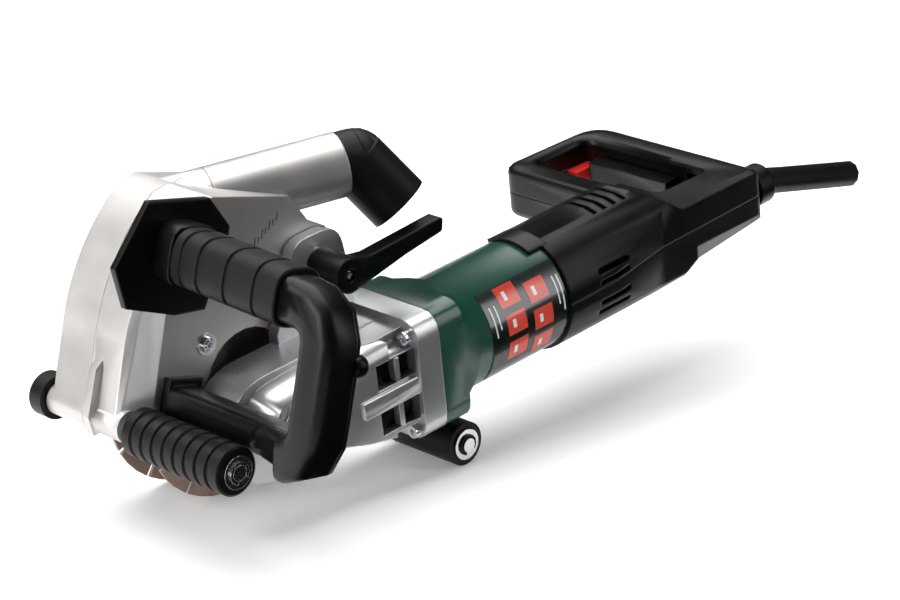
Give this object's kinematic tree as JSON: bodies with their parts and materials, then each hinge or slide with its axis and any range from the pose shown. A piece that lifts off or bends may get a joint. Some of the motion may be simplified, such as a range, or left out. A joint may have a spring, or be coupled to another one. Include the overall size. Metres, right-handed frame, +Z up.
{
  "type": "wall chaser",
  "caption": "Twin-disc wall chaser: cast hood with rollers, suction elbow and front D-handle, swinging on a barrel motor unit with closed rear handle.",
  "frame": {"origin": "under the middle of the tool's bounding box, on the floor the tool stands on", "axes": "+Z up, +Y along the tool from the front roller to the cord, +X to the side with the front handle and the motor"},
  "size_m": [0.275, 0.6794, 0.2279],
  "materials": {
    "cast_aluminium": "satin",
    "black_plastic": "satin",
    "soft_black": "matte",
    "green_plastic": "satin",
    "red_plastic": "satin",
    "steel": "machined",
    "zinc": "zinc plated",
    "spring_steel": "blackened",
    "disc_steel": "satin",
    "copper": "machined",
    "carbon": "matte"
  },
  "bodies": {
    "hood": {"hood_body": "cast_aluminium", "hood_cover": "cast_aluminium", "suction_spout": "cast_aluminium", "cover_screw_1": "zinc", "front_axle": "zinc", "front_washer": "zinc", "front_circlip": "spring_steel", "front_wheel_circlip": "spring_steel", "rear_axle": "zinc", "rear_washer": "zinc", "rear_circlip": "spring_steel", "handle_guard": "black_plastic", "handle_front_shell": "black_plastic", "handle_rear_shell": "black_plastic", "handle_sleeve": "soft_black"},
    "elbow": {"suction_elbow": "soft_black"},
    "front_roller": {"front_roller": "soft_black"},
    "front_wheel": {"front_wheel": "soft_black"},
    "rear_roller": {"rear_roller": "soft_black"},
    "motor_unit": {"gear_housing": "cast_aluminium", "gear_screw_1": "zinc", "gear_screw_2": "zinc", "gear_screw_3": "zinc", "gear_screw_4": "zinc", "bearing_cover": "cast_aluminium", "spindle_bearing_far": "steel", "spindle_bearing_near": "steel", "pinion_bearing": "steel", "rear_bearing": "steel", "stator": "steel", "brush_near": "carbon", "brush_far": "carbon", "motor_housing": "green_plastic", "rear_shell_upper": "black_plastic", "rear_shell_lower": "black_plastic", "grip_inlay": "soft_black", "switch_body": "carbon", "cord_gland": "black_plastic", "bend_sleeve": "soft_black", "clamp_bolt": "steel", "clamp_washer": "zinc"},
    "spindle": {"spindle": "steel", "disc_far": "disc_steel", "disc_near": "disc_steel", "spacer_1": "steel", "spacer_2": "steel", "inner_flange": "steel", "clamp_nut": "steel", "crown_gear": "steel"},
    "armature": {"armature_shaft": "steel", "pinion": "steel", "fan": "black_plastic", "armature_core": "steel", "commutator": "copper"},
    "clamp_lever": {"clamp_lever": "black_plastic"},
    "trigger": {"trigger": "black_plastic"},
    "lock_button": {"lock_button": "red_plastic"},
    "spindle_lock": {"spindle_lock": "black_plastic"}
  },
  "joints": [
    {"name": "depth_swing", "type": "hinge", "parent": "hood", "child": "motor_unit", "pos_m": [-0.06704, -0.09454, 0.0153], "axis": [1, 0, 0], "range_deg": [-5, 1.9]},
    {"name": "spindle_spin", "type": "hinge", "parent": "motor_unit", "child": "spindle", "pos_m": [-0.06704, -0.23846, 0.0625], "axis": [1, 0, 0], "continuous": true},
    {"name": "armature_spin", "type": "hinge", "parent": "motor_unit", "child": "armature", "pos_m": [-0.00004, -0.13932, 0.07555], "axis": [0, 0.9914, 0.1305], "continuous": true},
    {"name": "front_roller_spin", "type": "hinge", "parent": "hood", "child": "front_roller", "pos_m": [-0.06704, -0.32222, 0.07272], "axis": [1, 0, 0], "continuous": true},
    {"name": "front_wheel_spin", "type": "hinge", "parent": "hood", "child": "front_wheel", "pos_m": [-0.06704, -0.32222, 0.07272], "axis": [1, 0, 0], "continuous": true},
    {"name": "rear_roller_spin", "type": "hinge", "parent": "hood", "child": "rear_roller", "pos_m": [-0.06704, -0.09454, 0.0153], "axis": [1, 0, 0], "continuous": true},
    {"name": "elbow_turn", "type": "hinge", "parent": "hood", "child": "elbow", "pos_m": [-0.03904, -0.14107, 0.20511], "axis": [0.3402, 0.9308, 0.1334], "continuous": true},
    {"name": "clamp_lever_turn", "type": "hinge", "parent": "motor_unit", "child": "clamp_lever", "pos_m": [-0.01204, -0.17835, 0.14962], "axis": [1, 0, 0], "range_deg": [-20, 6]},
    {"name": "trigger_pull", "type": "slide", "parent": "motor_unit", "child": "trigger", "axis": [0, 0.9914, 0.1305], "range_m": [0, 0.0035], "stiffness_N_per_m": 1500, "springref_m": -0.002},
    {"name": "lock_press", "type": "slide", "parent": "motor_unit", "child": "lock_button", "axis": [0, 0.9914, 0.1305], "range_m": [0, 0.0025], "stiffness_N_per_m": 600, "springref_m": -0.002},
    {"name": "spindle_lock_press", "type": "slide", "parent": "motor_unit", "child": "spindle_lock", "axis": [-1, 0, 0], "range_m": [0, 0.003], "stiffness_N_per_m": 500, "springref_m": -0.002}
  ],
  "couplings": [
    {"joint": "armature_spin", "follows": "spindle_spin", "ratio": 3.0909}
  ]
}
